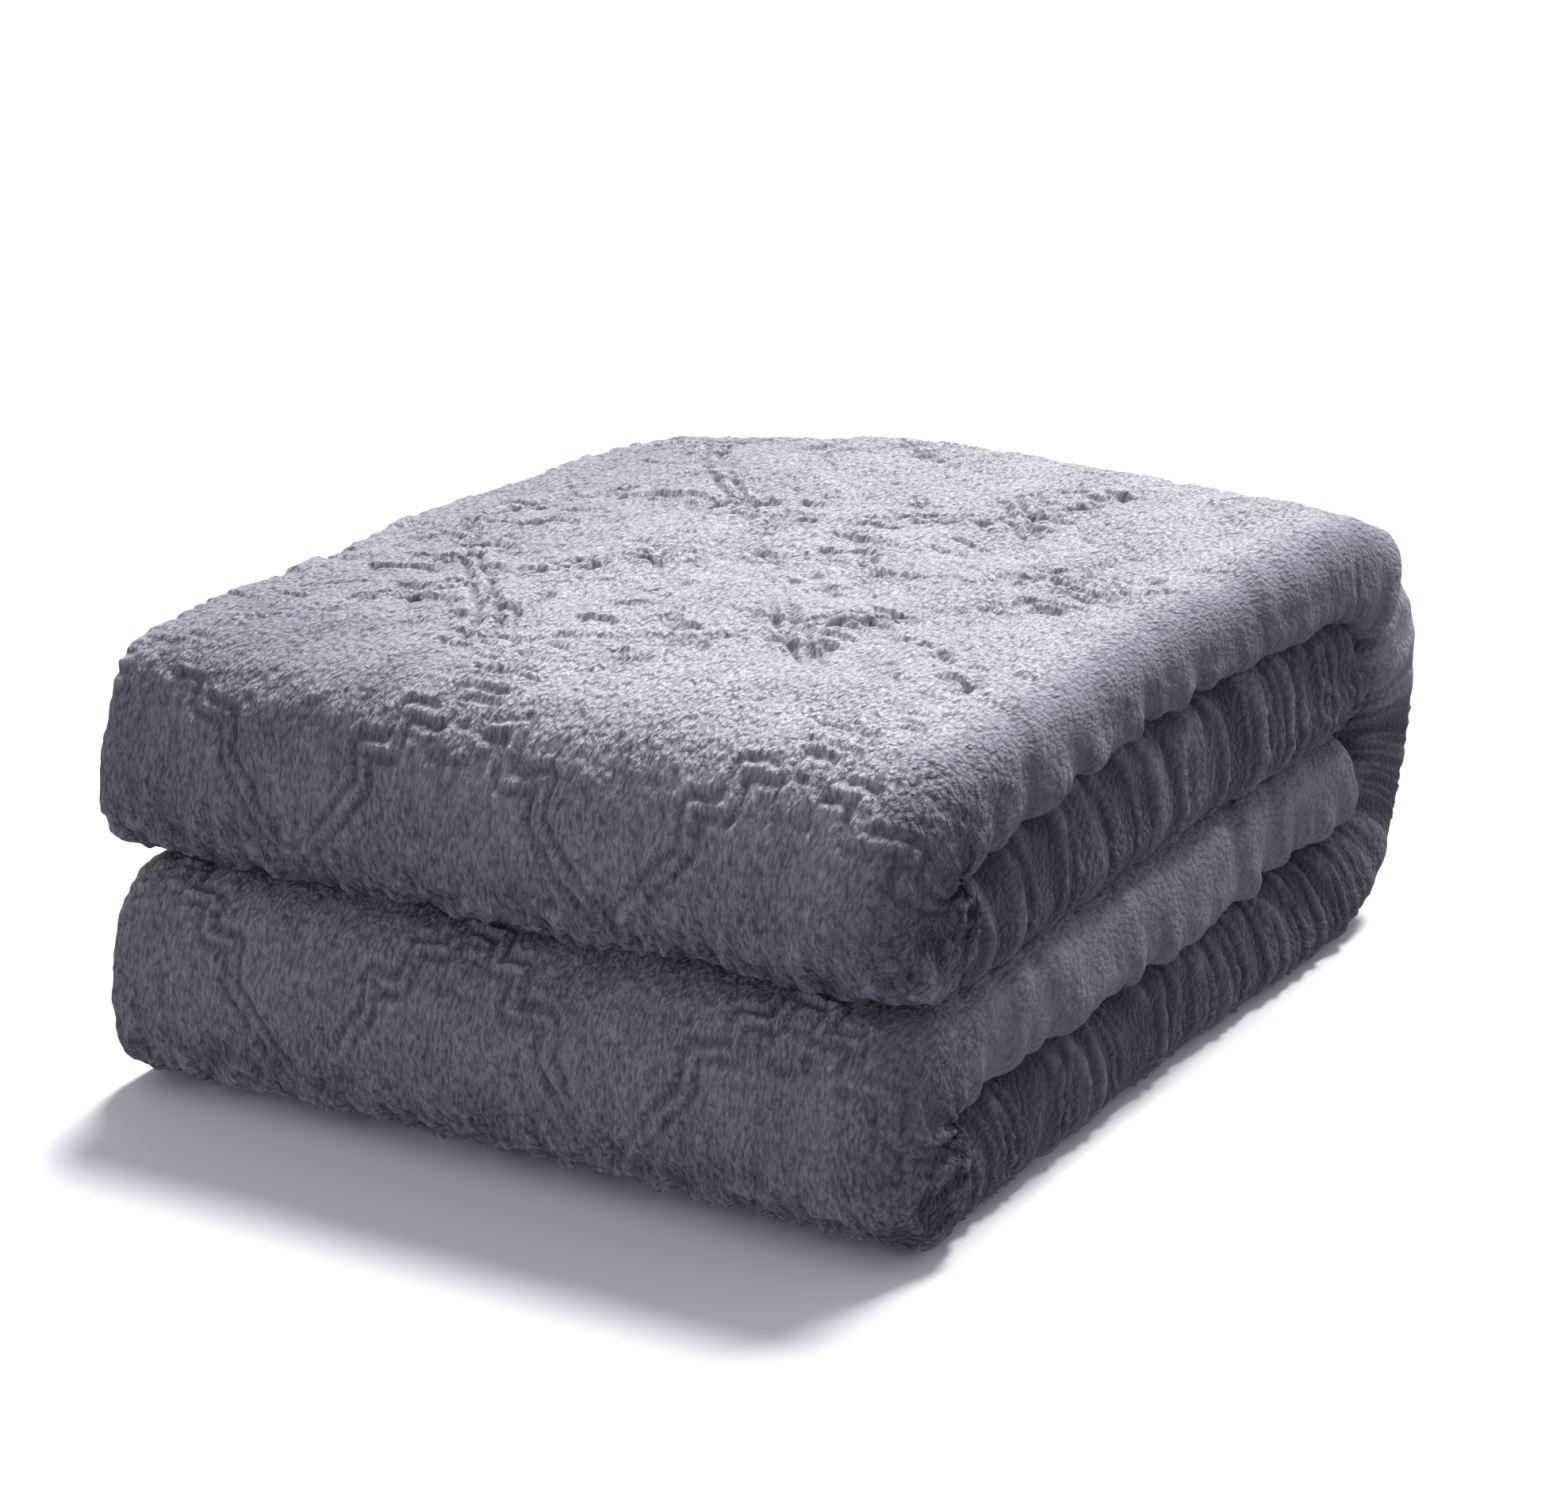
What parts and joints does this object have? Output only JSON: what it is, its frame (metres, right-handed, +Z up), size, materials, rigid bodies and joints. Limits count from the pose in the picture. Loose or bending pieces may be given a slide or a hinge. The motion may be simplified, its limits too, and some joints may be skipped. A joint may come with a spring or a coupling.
{
  "type": "folded throw blanket",
  "caption": "Plush throw with a carved diamond lattice, folded in quarters into a strip and then in four, resting as a thick soft stack that opens like a book on its back fold",
  "frame": {"origin": "on the surface the throw rests on, under the middle of the folded stack", "axes": "+X across the stack towards the strip's closed rolled side, +Y from the front folds to the back fold, +Z up"},
  "size_m": [0.372, 0.496, 0.194],
  "materials": {
    "plush_face": "short dense plush pile, grey lilac, carved with a stepped diamond lattice",
    "plush_back": "the same cloth's inner side, short smooth pile"
  },
  "bodies": {
    "lower_packet": {"bottom_layer_outer_half": "plush_face", "bottom_layer_inner_half": "plush_back", "lower_front_fold_outer_half": "plush_face", "lower_front_fold_inner_half": "plush_back", "lower_flap_outer_half": "plush_face", "lower_flap_inner_half": "plush_back"},
    "back_fold": {"back_fold_outer_half": "plush_face", "back_fold_inner_half": "plush_back"},
    "upper_packet": {"top_layer_outer_half": "plush_face", "top_layer_inner_half": "plush_back", "upper_front_fold_outer_half": "plush_face", "upper_front_fold_inner_half": "plush_back", "upper_flap_outer_half": "plush_face", "upper_flap_inner_half": "plush_back"}
  },
  "joints": [
    {"name": "lower_back_bend", "type": "hinge", "parent": "lower_packet", "child": "back_fold", "pos_m": [0, 0.22718, 0.02082], "axis": [-1, 0, 0], "range_deg": [0, 90]},
    {"name": "upper_back_bend", "type": "hinge", "parent": "back_fold", "child": "upper_packet", "pos_m": [0, 0.22718, 0.17318], "axis": [-1, 0, 0], "range_deg": [0, 90]}
  ],
  "couplings": [
    {"joint": "upper_back_bend", "follows": "lower_back_bend", "ratio": 1}
  ]
}
